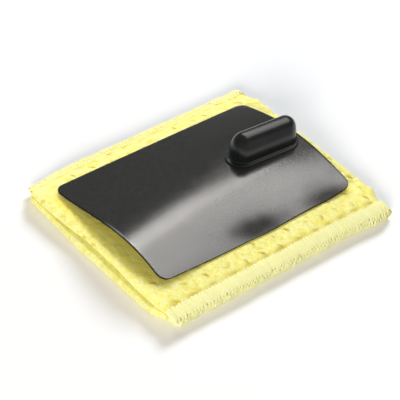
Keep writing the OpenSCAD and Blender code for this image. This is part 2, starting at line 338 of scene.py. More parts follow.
plateLow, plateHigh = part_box("holder_plate")
plate = dict(
    length=(plateHigh.x - plateLow.x) / mm, width=(plateHigh.y - plateLow.y) / mm,
    middle=((plateLow.x + plateHigh.x) / 2 / mm, (plateLow.y + plateHigh.y) / 2 / mm),
    thick=1.5, cornerR=6.0, bevel=0.3,
    riseLeft=8.2, riseRight=11.1,
    leanLeft=-0.85, leanRight=0.15,  # how far the crest leans to the rear
    rearRoundLeft=2.0, rearRoundRight=1.5,  # 2 is a round fall to the rear edge, 1 a straight one
    frontGrow=1.45, frontSag=1.45,  # the front edge is held down in the middle and lifts at its corners
    rearGrow=1.2, rearSkew=0.5, rearBow=0.4, rearRight=2.2, rearRightFrom=(15.0, 60.0),
    seatFlat=0.0055, seatReach=(36.0, 22.0),  # the sheet is drawn flat against the knob's foot
    dents=((9.0, -57.0, 12.0, 0.9), (56.0, -55.5, 10.0, 0.9)),  # place, reach and depth
    scuffs=(  # place, reaches, turn and strength of the dull patches
        (1.5, -51.0, 14.0, 5.5, -0.15, 1.0), (57.0, -55.0, 13.0, 4.5, -0.1, 1.0),
        (4.0, -47.0, 34.0, 11.0, -0.1, 0.22), (60.0, -48.0, 22.0, 10.0, 0.2, 0.25),
    ),
    ragged=dict(depth=0.3, size=7.0, seed=3),  # how the dull patches break up
    rimHighlightLeft=(-14.0, 22.0), rimHighlightFront=(-6.0, 20.0),  # where a highlight is painted pale along the rim
    frontPale=0.24, frontPaleFrom=(14.0, 18.0), frontPaleRun=110.0, frontPaleScuffed=0.6,  # a paler base towards the front; it grows to the right
    waver=dict(height=0.02, along=9.0, across=8.0, swing=0.6, swingRun=13.0, start=1.1),
    steps=(94, 62), cornerSteps=9, slopeStep=0.2,
)
knob = dict(
    length=48.2, width=18.0, height=18.5, band=7.5, shoulder=3.0,
    ridgeR=6.5,
    uprightLeft=6.0, topLeft=14.8,  # where an end leaves upright, and where it meets the ridge
    uprightRight=11.0, topRight=17.0,
    flangeWide=2.2, flangeThick=1.2, flangeShift=0.9, lip=0.45, fillet=0.6,
    soleRings=(0.3, 2.5, 5.0, 8.0), crestTo=math.radians(86.0),  # where the skin closes below and on top
    middle=(46.5, -2.5),  # from the middle of the plate
    turn=math.radians(-5.0),
    seat=0.04,
)


def archRise(x, y):  # height of the bent sheet over its long edges
    v = y / (plate["width"] / 2)
    t = x / plate["length"] + 0.5
    rise = plate["riseLeft"] + (plate["riseRight"] - plate["riseLeft"]) * t
    lean = plate["leanLeft"] + (plate["leanRight"] - plate["leanLeft"]) * t
    roundness = plate["rearRoundLeft"] + (plate["rearRoundRight"] - plate["rearRoundLeft"]) * t
    fall = np.abs(v) ** np.where(v > 0.0, roundness, 2.0)
    return rise * (1.0 - fall) * (1.0 + lean * v)


spread = np.linspace(-0.5, 0.5, 61)
alongX, acrossY = np.meshgrid(spread * plate["length"], spread * plate["width"])
plate["edgeZ"] = plateHigh.z / mm - archRise(alongX, acrossY).max()


def plateTop(x, y):
    z = plate["edgeZ"] + archRise(x, y)
    front = np.clip(-2.0 * y / plate["width"], 0.0, 1.0) ** 2
    z = z + plate["frontSag"] * (2.0 * (2.0 * x / plate["length"]) ** 2 - 1.0) * front
    offX, offY = x - knob["middle"][0], y - knob["middle"][1]
    dx, dy = offX / plate["seatReach"][0], offY / plate["seatReach"][1]
    z = z + plate["seatFlat"] * offY ** 2 * np.exp(-dx ** 2 - dy ** 2)
    w = plate["waver"]
    ripple = np.sin(x / w["along"] + w["swing"] * np.sin(y / w["swingRun"]))
    z = z + w["height"] * ripple * np.sin(y / w["across"] + w["start"])
    for atX, atY, reach, depth in plate["dents"]:
        z = z - depth * np.exp(-((x - atX) ** 2 + (y - atY) ** 2) / reach ** 2)
    return z


def plateSpot(x, y):  # where a point of the flat sheet's outline comes to lie
    v = y / (plate["width"] / 2)
    inMiddle = 1.0 - (2.0 * x / plate["length"]) ** 2
    front = plate["frontGrow"] * np.clip(-v, 0.0, 1.0) ** 2
    toRear = np.clip(v, 0.0, 1.0) ** 2
    rear = toRear * (plate["rearGrow"] - plate["rearSkew"] * 2.0 * x / plate["length"]
                     + plate["rearBow"] * inMiddle)
    right = plate["rearRight"] * toRear * past(x, *plate["rearRightFrom"])
    midX, midY = plate["middle"]
    return np.stack([x + right + midX, y - front + rear + midY, plateTop(x, y)], -1)


def platePoint(x, y, depth):  # a point under the plate's top face, measured square to it
    e = plate["slopeStep"]
    along = plateSpot(x + e, y) - plateSpot(x - e, y)
    across = plateSpot(x, y + e) - plateSpot(x, y - e)
    normal = np.cross(along, across)
    normal /= np.linalg.norm(normal, axis=-1)[..., None]
    return plateSpot(x, y) - normal * np.asarray(depth)[..., None]


def roundedGrid(length, width, r, steps, cornerSteps):  # a rounded rectangle in rows from edge to edge
    halfW = width / 2
    turn = np.sin(np.linspace(0.0, math.pi / 2, cornerSteps))
    flat = np.linspace(-(halfW - r), halfW - r, steps[1] + 1)
    rows = np.concatenate([-(halfW - r + r * turn)[::-1], flat[1:-1], halfW - r + r * turn])
    over = np.maximum(np.abs(rows) - (halfW - r), 0.0)
    reach = length / 2 - r + np.sqrt(np.maximum(r * r - over ** 2, 0.0))
    cols = np.linspace(-1.0, 1.0, steps[0] + 1)
    return reach[:, None] * cols[None, :], np.repeat(rows[:, None], len(cols), 1)


def rimIndex(rows, cols):  # the grid's border, once round
    low = list(range(cols))
    right = [i * cols + cols - 1 for i in range(1, rows)]
    high = [(rows - 1) * cols + j for j in range(cols - 2, -1, -1)]
    left = [i * cols for i in range(rows - 2, 0, -1)]
    return low + right + high + left


def plateGrid(inset):
    return roundedGrid(plate["length"] - 2 * inset, plate["width"] - 2 * inset, plate["cornerR"] - inset,
                       plate["steps"], plate["cornerSteps"])


def makePlate():
    b, t = plate["bevel"], plate["thick"]
    x, y = plateGrid(b)
    rows, cols = x.shape
    rim = rimIndex(rows, cols)
    angles = np.radians([30.0, 60.0, 90.0])
    rings = [(b * (1 - math.sin(a)), b * (1 - math.cos(a))) for a in angles]
    rings += [(inset, t - depth) for inset, depth in reversed(rings)]
    parts = [platePoint(x, y, np.zeros_like(x)).reshape(-1, 3)]
    for inset, depth in rings:
        rx, ry = (a.reshape(-1)[rim] for a in plateGrid(inset))
        parts.append(platePoint(rx, ry, np.full(len(rim), depth)))
    parts.append(platePoint(x, y, np.full_like(x, t)).reshape(-1, 3))
    n, size = len(rim), rows * cols
    loops = [rim] + [[size + k * n + i for i in range(n)] for k in range(len(rings))]
    under = size + len(rings) * n
    loops.append([under + i for i in rim])
    faces = gridFaces(rows, cols) + gridFaces(rows, cols, under, flip=True)
    smooth = len(faces)
    for upper, lower in zip(loops, loops[1:]):
        for i in range(n):
            k = (i + 1) % n
            faces.append((upper[i], lower[i], lower[k], upper[k]))
    piece = makePiece("holder_sheet", np.concatenate(parts), faces, plateFinish, "holder")
    piece.data.materials.append(cutFinish)
    for k in range(smooth + n, len(faces)):
        piece.data.polygons[k].material_index = 1
    scuff, rimHighlightAndPale = np.zeros((2, len(piece.data.vertices)))
    r = plate["ragged"]
    ragged = 1.0 + r["depth"] * lumps(x, y, r["size"], r["seed"])
    for atX, atY, reachX, reachY, turn, strength in plate["scuffs"]:
        dx, dy = x - atX, y - atY
        u, w = dx * math.cos(turn) + dy * math.sin(turn), dy * math.cos(turn) - dx * math.sin(turn)
        scuff[:size] += (strength * np.exp(-(u / reachX) ** 2 - (w / reachY) ** 2) * ragged).ravel()
    rimX, rimY = x.ravel()[rim], y.ravel()[rim]
    # painted highlight: the rim's bevel is paled along the left and front edges
    worn = past(-rimX, *plate["rimHighlightLeft"]) * past(-rimY, *plate["rimHighlightFront"])
    frontPale = plate["frontPale"] * past(-y, *plate["frontPaleFrom"]) * soft(0.5 + x / plate["frontPaleRun"])
    rimHighlightAndPale[:size] = frontPale.ravel() * (1.0 - plate["frontPaleScuffed"] * scuff[:size].clip(0.0, 1.0))
    rimHighlightAndPale[rim] = np.maximum(worn, rimHighlightAndPale[rim])
    rimHighlightAndPale[size:size + n] = worn
    for name, values in (("scuff", scuff), ("rimHighlightAndPale", rimHighlightAndPale)):
        mark = piece.data.attributes.new(name, 'FLOAT', 'POINT')
        mark.data.foreach_set('value', values.clip(0.0, 1.0))
    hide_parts("holder_plate")
    return piece


plateSheet = makePlate()
print("plate made:", len(plateSheet.data.polygons), "faces")


# Grip knob: a pill-shaped body with an upright band, sides that lean in to a round ridge, and a thin flange

def knobProfile():  # distance from the pill's centre line and height over the plate, from the flange up
    foot, ridge = knob["width"] / 2, knob["ridgeR"]
    centre = knob["height"] - ridge
    wide, thick = foot + knob["flangeWide"], knob["flangeThick"]
    lip, fillet, shoulder = knob["lip"], knob["fillet"], knob["shoulder"]
    dx, dz = foot, knob["band"] - centre
    lean = math.acos(ridge / math.hypot(dx, dz)) + math.atan2(dz, dx)
    touch = (ridge * math.cos(lean), centre + ridge * math.sin(lean))
    slope = (touch[0] - foot, touch[1] - knob["band"])
    slopeLen = math.hypot(*slope)
    slope = (slope[0] / slopeLen, slope[1] / slopeLen)
    points = [(r, 0.0) for r in (*knob["soleRings"], wide)] + [(wide, (thick - lip) / 2)]
    points += [(wide - lip * (1 - math.cos(a)), thick - lip * (1 - math.sin(a)))
               for a in np.linspace(0.0, math.pi / 2, 5)]
    points += [(foot + fillet * (1 - math.sin(a)), thick + fillet * (1 - math.cos(a)))
               for a in np.linspace(0.0, math.pi / 2, 5)]
    points += [(foot, h) for h in np.linspace(thick + fillet, knob["band"] - shoulder, 6)[1:]]
    for t in np.linspace(0.0, 1.0, 7)[1:]:  # rounded edge between the band and the leaning side
        a = np.array((foot, knob["band"] - shoulder))
        b = np.array((foot, knob["band"]))
        c = b + shoulder * np.array(slope)
        points.append(tuple((1 - t) ** 2 * a + 2 * t * (1 - t) * b + t * t * c))
    points += [(foot + slope[0] * d, knob["band"] + slope[1] * d)
               for d in np.linspace(shoulder, slopeLen, 9)[1:]]
    points += [(ridge * math.cos(a), centre + ridge * math.sin(a))
               for a in np.linspace(lean, knob["crestTo"], 13)[1:]]
    return points


def endReach(h, upright, top):  # half the body's length at a height, towards one end
    over = max(0.0, h - upright) / (knob["height"] - upright)
    half = knob["length"] / 2
    return top + (half - top) * math.sqrt(max(0.0, 1.0 - over ** 2))


def pillRing(toRight, toLeft, r, turnSteps=26, runSteps=22):  # once round, alike on both sides
    apart = 1e-4  # keeps the two halves' end points from meeting
    right = [(toRight + r * math.cos(a), r * math.sin(a))
             for a in np.linspace(0.0, math.pi / 2, turnSteps, endpoint=False)]
    run = [(x, r) for x in np.linspace(toRight, -toLeft, runSteps, endpoint=False)]
    left = [(-toLeft + r * math.cos(a), r * math.sin(a))
            for a in np.linspace(math.pi / 2, math.pi, turnSteps + 1)]
    half = right + run + left
    half[0] = (half[0][0], apart)
    half[-1] = (half[-1][0], apart)
    return np.array(half + [(x, -y) for x, y in reversed(half)])


def makeKnob():
    profile = knobProfile()
    foot = (knob["length"] - knob["width"]) / 2
    c, s = math.cos(knob["turn"]), math.sin(knob["turn"])
    crest = float(plateTop(*(np.array(v) for v in knob["middle"])))
    rings = []
    for r, h in profile:
        shift = knob["flangeShift"] * max(0.0, r - knob["width"] / 2) / knob["flangeWide"]
        toRight = max(foot, endReach(h, knob["uprightRight"], knob["topRight"]) - r) - shift
        toLeft = max(foot, endReach(h, knob["uprightLeft"], knob["topLeft"]) - r) + shift
        a, b = pillRing(toRight, toLeft, r).T
        x, y = knob["middle"][0] + a * c - b * s, knob["middle"][1] + a * s + b * c
        sheet = plateTop(x, y)
        level = crest + (sheet - crest) * (1.0 - soft((h - knob["flangeThick"]) / knob["band"]))
        rings.append(np.stack([plate["middle"][0] + x, plate["middle"][1] + y, level + knob["seat"] + h], -1))
    n = len(rings[0])
    faces = gridFaces(len(rings), n, closed=True)
    faces += ladderFaces(list(range(n)), flip=True)
    faces += ladderFaces(list(range((len(rings) - 1) * n, len(rings) * n)))
    piece = makePiece("grip_body", np.concatenate(rings), faces, knobFinish, "holder")
    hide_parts("grip_knob")
    return piece


knobBody = makeKnob()
print("knob made:", len(knobBody.data.polygons), "faces")


# Hook strips: woven tape with rows of small hooks, glued under the plate's long edges

strip = dict(width=16.0, inset=4.0, endInset=9.0, glue=0.1, backing=0.3, total=0.8, cornerR=3.0,
             pitch=1.65, rowPitch=1.5, rowInset=(1.2, 1.0), hookInset=1.8, hookR=0.13, hookSides=4,
             steps=(66, 5), cornerSteps=5)


def makeStrip(name, side, node):
    length = plate["length"] - 2 * strip["endInset"]
    middle = side * (plate["width"] / 2 - strip["inset"] - strip["width"] / 2)
    x, y = roundedGrid(length, strip["width"], strip["cornerR"], strip["steps"], strip["cornerSteps"])
    y = y + middle
    rows, cols = x.shape
    top = plate["thick"] + strip["glue"]
    upper = platePoint(x, y, np.full_like(x, top)).reshape(-1, 3)
    lower = platePoint(x, y, np.full_like(x, top + strip["backing"])).reshape(-1, 3)
    rim = rimIndex(rows, cols)
    size = rows * cols
    faces = gridFaces(rows, cols) + gridFaces(rows, cols, size, flip=True)
    faces += [(a, size + a, size + b, b) for a, b in zip(rim, rim[1:] + rim[:1])]
    parts = [(np.concatenate([upper, lower]), faces)]
    drop = strip["total"] - strip["backing"] - strip["hookR"]
    hook = [(0.0, -0.1), (0.02, 0.25), (0.12, drop * 0.72), (0.36, drop), (0.6, drop * 0.78)]  # along, down
    half, hookEnd = strip["width"] / 2, length / 2 - strip["hookInset"]
    rowsAt = np.arange(-half + strip["rowInset"][0], half - strip["rowInset"][1], strip["rowPitch"])
    for k, row in enumerate(rowsAt):
        lean = 1.0 if k % 2 else -1.0
        for at in np.arange(-hookEnd, hookEnd, strip["pitch"]):
            path = [platePoint(at + lean * a, middle + row, top + strip["backing"] + d) for a, d in hook]
            parts.append(tube(path, strip["hookR"], strip["hookSides"]))
    points, faces = joined(parts)
    piece = makePiece(name, points, faces, hookFinish, "holder")
    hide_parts(node)
    return piece


frontStrip = makeStrip("front_hooks", -1.0, "front_hook_strip")
makeStrip("rear_hooks", 1.0, "rear_hook_strip")
print("hook strips made:", len(frontStrip.data.polygons), "faces each")


# Wiping cloth: one thick sheet, both ends folded to the middle and then folded in half

clothLow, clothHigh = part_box("wiping_cloth")
cloth = dict(
    left=clothLow.x / mm, right=clothHigh.x / mm,
    halfWidth=clothHigh.y / mm,
    ply=(clothHigh.z - clothLow.z) / mm / 4,
    foldStep=5.0,  # how far the lower fold reaches past the upper one
    slack=0.985,  # share of its space that a ply fills
    step=1.0, innerStep=5.0, nearFold=14.0, foldTurns=14, bendTurns=24, hiddenEnd=1.0,
    hemTop=8.8, hemLow=4.4, tuck=0.45,
    shoulderAt=64.0, shoulderPower=1.9, soleAt=70.0, solePower=1.2, hemLowRear=2.0,
    needleAt=72.6, needleDepth=0.55, needleWide=1.2,
    crown=0.9, crownPower=8,
    drawLower=1.2, drawRear=2.6, drawFront=4.5, drawUpper=0.6, bowUpper=2.1, hemUpper=1.2, hemRear=4.5,
    drawRight=3.5, hemRight=2.5,
    slantRear=2.5, slantMid=-0.4, slantFront=-4.7,
    droop=4.0, flare=1.3, sag=3.0,  # hem's sole and edge at the front right, hem's top at the rear left
    drawRearFrom=(5.0, 75.0), drawFrontFrom=(57.0, 14.0),  # start and run of each of these, outwards
    bowUpperFrom=(8.0, 42.0), hemUpperFrom=(62.0, 10.0), hemRearFrom=(71.0, 7.0), upperFrom=(0.42, 0.16),
    drawRightFrom=(58.0, 12.0), hemRightFrom=(70.0, 6.0),
    leftFrom=(20.0, 70.0), rightFrom=(10.0, 80.0), endFrom=(55.0, 30.0),
    flareFrom=(52.0, 26.0), pressFrom=(66.0, 12.0),
    edgeSlope=0.55, edgeReach=4.0, clear=0.1,  # how the cloth rises from the holder's edge
    backLow=0.05,
)
cloth["thick"] = 4 * cloth["ply"]


def bendStart():  # where the big right fold begins
    return cloth["right"] - 2 * cloth["ply"]


def foldedLine():  # the sheet's middle line in X and Z with its outer side, from one hidden end to the other
    p, step = cloth["ply"], cloth["step"]
    lower = cloth["left"] + p
    upper = cloth["left"] + cloth["foldStep"] + p
    bend = bendStart()
    hidden = bend - cloth["hiddenEnd"]

    def run(x0, x1, z, fineFrom):
        coarse = np.linspace(x0, fineFrom, max(2, int(abs(fineFrom - x0) / cloth["innerStep"]) + 1))
        fine = np.linspace(fineFrom, x1, max(2, int(abs(x1 - fineFrom) / step) + 1))
        x = np.concatenate([coarse[:-1], fine])
        return np.stack([x, np.full_like(x, z)], -1)

    def turn(x, z, r, a0, a1, steps):
        a = np.radians(np.linspace(a0, a1, steps + 1))[1:-1]
        return np.stack([x + r * np.cos(a), z + r * np.sin(a)], -1)

    line = np.concatenate([
        run(hidden, lower, 1.5 * p, lower + cloth["nearFold"]),
        turn(lower, p, p / 2, 90.0, 270.0, cloth["foldTurns"]),
        run(lower, bend, 0.5 * p, lower),
        turn(bend, 2 * p, 1.5 * p, -90.0, 90.0, cloth["bendTurns"]),
        run(bend, upper, 3.5 * p, bend),
        turn(upper, 3 * p, p / 2, 90.0, 270.0, cloth["foldTurns"]),
        run(hidden, upper, 2.5 * p, upper + cloth["nearFold"])[::-1],
    ])
    along = np.gradient(line, axis=0)
    along /= np.linalg.norm(along, axis=1)[:, None]
    return line, np.stack([along[:, 1], -along[:, 0]], -1)


def overHem(y, start):  # 0 at start, 1 at the cloth's edge
    return np.clip((np.abs(y) - start) / (cloth["halfWidth"] - start), 0.0, 1.0)


def topAt(y):  # height of the cloth's upper face between the seams
    over = overHem(y, cloth["shoulderAt"]) ** cloth["shoulderPower"]
    groove = cloth["needleDepth"] * np.exp(-((np.abs(y) - cloth["needleAt"]) / cloth["needleWide"]) ** 2)
    return cloth["thick"] - (cloth["thick"] - cloth["hemTop"]) * over - groove


def soleAt(y):
    over = overHem(y, cloth["soleAt"]) ** cloth["solePower"]
    return np.where(y < 0.0, cloth["hemLow"], cloth["hemLowRear"]) * over


def leftDraw(y, share):  # how far the hems draw in the two left folds, the lower one more
    far = np.abs(y)
    lower = cloth["drawLower"] + cloth["drawRear"] * past(y, *cloth["drawRearFrom"])
    lower = lower + cloth["drawFront"] * past(-y, *cloth["drawFrontFrom"])
    upper = cloth["drawUpper"] - cloth["bowUpper"] * past(far, *cloth["bowUpperFrom"])
    upper = upper + cloth["hemUpper"] * past(far, *cloth["hemUpperFrom"])
    drawn = lower + (upper - lower) * past(share, *cloth["upperFrom"])
    return drawn + cloth["hemRear"] * past(y, *cloth["hemRearFrom"])


def rightDraw(y):
    far = np.abs(y)
    drawn = cloth["drawRight"] * past(far, *cloth["drawRightFrom"])
    return drawn - cloth["hemRight"] * past(far, *cloth["hemRightFrom"])


def asLaid(points, share):  # as it lies: left folds drawn in, right end slanted, two corners pressed down
    x, y, z = points[..., 0], points[..., 1], points[..., 2]
    v = y / cloth["halfWidth"]
    toLeft, toRight = past(-x, *cloth["leftFrom"]), past(x, *cloth["rightFrom"])
    half = (cloth["slantRear"] - cloth["slantFront"]) / 2
    bend = (cloth["slantRear"] + cloth["slantFront"]) / 2 - cloth["slantMid"]
    slant = cloth["slantMid"] + half * v + bend * v * v
    endRight, endLeft = past(x, *cloth["endFrom"]), past(-x, *cloth["endFrom"])
    flare = cloth["flare"] * endRight * past(-y, *cloth["flareFrom"])
    z = z - cloth["droop"] * endRight * past(-y, *cloth["pressFrom"]) * (1.0 - share)
    z = z - cloth["sag"] * endLeft * past(y, *cloth["pressFrom"]) * share
    x = x + leftDraw(y, share) * toLeft + (slant - rightDraw(y)) * toRight
    return np.stack([x, y - flare, z], -1)


def onPad(x, y, z):  # a point of the plain four-ply stack, squeezed to the hems and laid down
    crown = cloth["crown"] * np.clip(np.abs(x) / cloth["right"], 0.0, 1.0) ** cloth["crownPower"]
    top, low = topAt(y) - crown, soleAt(y)
    share = z / cloth["thick"]
    return asLaid(np.stack([x, y, low + (top - low) * share], -1), share)


knit = dict(
    pitch=(13.2, -1.45), rowPitch=(0.6, 10.6),  # from one bobble to the next, along and across
    start=(-1.4, -59.6), along=(-9, 10), across=(-4, 14),
    jitter=0.8, sizes=(0.85, 1.15), reach=11.0,
    bobble=0.75, bobbleR=4.2,
    crease=1.1, creaseR=3.0, creaseWide=1.0, depths=(0.65, 1.15),
    facing=(0.35, 0.35), facingPower=1.2,  # a crease's mean turn and its spread
    tuft=0.34, tuftSize=3.1, fluff=0.22, fluffSize=1.5, fluffTurn=1.1,
    flattened=0.25, flattenFrom=(-3.5, 6.0), calmLeft=0.45, calmFrom=(58.0, 14.0),  # holder and folds calm it
    foldReach=12.0, hemFade=2.5, partFade=(4.0, 8.0),
    soleShare=0.6, soleFacing=-0.7,
    seed=7, lowerSeed=47,
)
shade = dict(  # painted shade in the nap: creases, the needle-line groove, gaps between threads, under the holder and its shadow left of it; and where the hem turns paler
    gatherShift=3.0, gatherSize=9.0, gatherSeed=6, gatherPower=1.5,
    grooveIn=1.6, grooveWide=1.7, groove=(0.2, 0.6),
    hollow=(0.05, 0.55), rim=0.4,
    rearThreadShade=(0.4, 1.0),  # painted shade seen between the rear seam's thin threads
    hemFrom=(-0.9, 1.2), holderShadeFrom=(-2.0, 5.0),
    leftShadow=(-10.0, 9.0), besideEnds=(2.0, 8.0),
)


def knitRelief(x, y, seed):  # bobbles with a crease on one side, and the uneven nap between them
    rng = np.random.default_rng(seed)
    height = knit["tuft"] * lumps(x, y, knit["tuftSize"], seed + 1)
    height += knit["fluff"] * lumps(x, y, knit["fluffSize"], seed + 2, knit["fluffTurn"])
    a, b = np.array(knit["pitch"]), np.array(knit["rowPitch"])
    for i in range(*knit["along"]):
        for j in range(*knit["across"]):
            at = np.array(knit["start"]) + i * a + j * b + rng.normal(0.0, knit["jitter"], 2)
            size = rng.uniform(*knit["sizes"])
            face = rng.normal(*knit["facing"])
            depth = rng.uniform(*knit["depths"])
            rows = np.abs(x[:, 0] - at[0]) < knit["reach"]
            cols = np.abs(y[0] - at[1]) < knit["reach"]
            if not rows.any() or not cols.any():
                continue
            part = np.ix_(rows, cols)
            dx, dy = x[part] - at[0], y[part] - at[1]
            far = np.hypot(dx, dy)
            facing = np.clip(np.cos(np.arctan2(dy, dx) - face), 0.0, 1.0) ** knit["facingPower"]
            ring = np.exp(-((far - knit["creaseR"] * size) / knit["creaseWide"]) ** 2)
            height[part] += knit["bobble"] * np.exp(-(far / (knit["bobbleR"] * size)) ** 2)
            height[part] -= knit["crease"] * depth * ring * facing
    return height


def underHolder(x, y):  # the holder's lowest height over the cloth, and how far inside its edge that is
    px, py = x - plate["middle"][0], y - plate["middle"][1]
    for k in range(3):  # back to the sheet's own measures
        spot = plateSpot(px, py)
        px, py = px + x - spot[..., 0], py + y - spot[..., 1]
    halfL, halfW = plate["length"] / 2, plate["width"] / 2
    inside = np.minimum(halfL - np.abs(px), halfW - np.abs(py))
    outer = halfW - strip["inset"]
    onStrip = (np.abs(py) < outer) & (np.abs(py) > outer - strip["width"])
    onStrip &= np.abs(px) < halfL - strip["endInset"]
    under = plateTop(np.clip(px, -halfL, halfL), np.clip(py, -halfW, halfW)) - plate["thick"]
    return np.where(onStrip, under - strip["glue"] - strip["total"], under), inside


def makeCloth():
    line, outward = foldedLine()
    reach = cloth["halfWidth"] - cloth["tuck"]  # the cut edge is tucked inside the stitches
    ys = np.linspace(-reach, reach, int(2 * reach / cloth["step"]) + 1)
    half = cloth["ply"] / 2 * cloth["slack"]
    faceLine, backLine = line + half * outward, line - half * outward
    y = np.repeat(ys[None, :], len(line), 0)

    def laid(section):
        x = np.repeat(section[:, :1], len(ys), 1)
        z = np.repeat(section[:, 1:], len(ys), 1)
        return onPad(x, y, z)

    face, back = laid(faceLine), laid(backLine)
    travel = np.concatenate([[0.0], np.cumsum(np.linalg.norm(np.diff(line, axis=0), axis=1))])
    upperPly, lowerPly = line[:, 1] > 3 * cloth["ply"], line[:, 1] < cloth["ply"]
    topPly = upperPly & (outward[:, 1] > 0.5)
    topMiddle = travel[topPly].mean()
    sx = np.repeat((topMiddle - travel)[:, None], len(ys), 1)  # runs as X does on the upper face
    relief = np.zeros_like(sx)
    shown = (line[:, 0] < cloth["left"] + knit["foldReach"]) | lowerPly | upperPly
    shown |= line[:, 0] > bendStart()
    first, last = np.flatnonzero(shown)[[0, -1]]
    mid = (first + last) // 2
    for part, seed in ((slice(first, mid), knit["seed"]), (slice(mid, last + 1), knit["lowerSeed"])):
        relief[part] = knitRelief(sx[part], y[part], seed)
    hemFade = soft((cloth["needleAt"] - np.abs(y)) / knit["hemFade"])
    inner = (line[:, 1] > cloth["ply"]) & (line[:, 1] < 3 * cloth["ply"]) & (line[:, 0] < bendStart())
    fadeAt, fadeRun = knit["partFade"]
    partFade = np.where(inner, soft(1.0 - (line[:, 0] - cloth["left"] - fadeAt) / fadeRun), 1.0)
    onSole = np.where(outward[:, 1] < knit["soleFacing"], knit["soleShare"], 1.0)
    relief *= hemFade * partFade[:, None] * onSole[:, None]
    inside = underHolder(face[..., 0], face[..., 1])[1]
    relief *= 1.0 - (1.0 - knit["flattened"]) * topPly[:, None] * past(inside, *knit["flattenFrom"])
    relief *= 1.0 - knit["calmLeft"] * past(-face[..., 0], *knit["calmFrom"])
    across = np.gradient(face, axis=1)
    along = np.gradient(face, axis=0)
    normal = np.cross(across, along)
    normal /= np.linalg.norm(normal, axis=-1)[..., None]
    normal *= np.sign((normal[..., 0] * outward[:, :1] + normal[..., 2] * outward[:, 1:]))[..., None]
    face = face + normal * relief[..., None]
    face[..., 2] = np.maximum(face[..., 2], 0.0)
    under, inside = underHolder(face[..., 0], face[..., 1])
    besideEdge = cloth["edgeSlope"] * np.clip(-inside, 0.0, cloth["edgeReach"])
    onTop = topPly[:, None] & (inside > -cloth["edgeReach"])
    held = np.minimum(face[..., 2], under - cloth["clear"] + besideEdge)
    face[..., 2] = np.where(onTop, held, face[..., 2])
    back[..., 2] = np.maximum(back[..., 2], cloth["backLow"])

    rows, cols = y.shape
    size = rows * cols
    faces = gridFaces(rows, cols) + gridFaces(rows, cols, size, flip=True)
    rim = rimIndex(rows, cols)
    faces += [(a, size + a, size + b, b) for a, b in zip(rim, rim[1:] + rim[:1])]
    points = np.concatenate([face.reshape(-1, 3), back.reshape(-1, 3)])
    piece = makePiece("folded_cloth", points, faces, clothYellow, "cloth")

    # painted shade in the groove along the needle line, bunched in clusters, and in the creases of the relief
    bunched = sx + shade["gatherShift"] * lumps(sx, y, shade["gatherSize"], shade["gatherSeed"])
    gather = (0.5 + 0.5 * np.cos(2 * math.pi * bunched / knit["pitch"][0])) ** shade["gatherPower"]
    groove = np.exp(-((np.abs(y) - cloth["needleAt"] + shade["grooveIn"]) / shade["grooveWide"]) ** 2)
    groove = groove * (shade["groove"][0] + shade["groove"][1] * gather)
    hollow = np.clip((-relief - shade["hollow"][0]) / shade["hollow"][1], 0.0, 1.0) + groove
    # painted shade on the cut edge seen between the threads, and between the rear seam's threads
    hollow[:, [0, -1]] = shade["rim"]
    hollow += past(y - cloth["needleAt"], *shade["rearThreadShade"])
    hemmed = past(np.abs(y) - cloth["needleAt"], *shade["hemFrom"])
    # painted shadow of the holder on the cloth left of it, and painted shade under it
    pastLeft = plate["middle"][0] - plate["length"] / 2 - face[..., 0]
    endGap, endRun = shade["besideEnds"]
    fromEnds = plate["width"] / 2 + endGap - np.abs(y - plate["middle"][1])
    leftShadow = past(-pastLeft, *shade["leftShadow"]) * soft(fromEnds / endRun) * (pastLeft > 0.0)
    holderShade = topPly[:, None] * np.maximum(past(inside, *shade["holderShadeFrom"]), leftShadow)
    for name, values in (("hollow", hollow), ("hemmed", hemmed), ("holderShade", holderShade)):
        mark = piece.data.attributes.new(name, 'FLOAT', 'POINT')
        mark.data.foreach_set('value', np.concatenate([values.ravel(), np.zeros(size)]).clip(0.0, 1.0))
    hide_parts("wiping_cloth")
    return piece, travel[-1]


foldedCloth, sheetLength = makeCloth()
print("cloth made:", len(foldedCloth.data.polygons), "faces from a sheet", round(sheetLength), "mm long")


# Overlock seams: two looper threads that cross the edge and lock in a row of knots, and a needle thread

seam = dict(
    pitch=2.45, frontLeft=-86.5, rearLeft=-87.0, right=88.5, lowOver=1.0,
    edge=79.7, knotZ=7.0, knotApart=0.1, cornerTop=8.9, cornerLow=4.6, sunk=-0.1,
    frontThread=(1.0, 0.38), rearThread=(0.42, 0.0), thinFrom=(78.8, 0.8),  # radius, share lost on the edge
    needleR=0.4, chainR=0.5, sides=7, steps=4,
    atNeedle=((0.0, -0.4), (0.13, 0.3)),  # a looper's half stitch: share of the pitch and place across,
    onBand=((0.22, 75.0), (0.25, 77.0), (0.25, 79.0)),  # from the needle, the middle and the edge
    overEdge=((0.28, 0.1), (0.37, 0.4), (0.5, 0.55)),
    needleRun=((0.0, -0.2), (0.5, 0.4)),
    chain=((0.0, 0.5, 0.3), (0.25, 0.6, 0.1), (0.5, 0.75, -0.2), (0.75, 0.6, 0.1)),
    wander=0.14, wanderUp=0.6, uneven=0.10, unevenRun=5.0,
    wave=0.3, waveRuns=(8.0, 6.0), waveFrom=(74.0, 5.0), clear=1.12, seed=11,
)


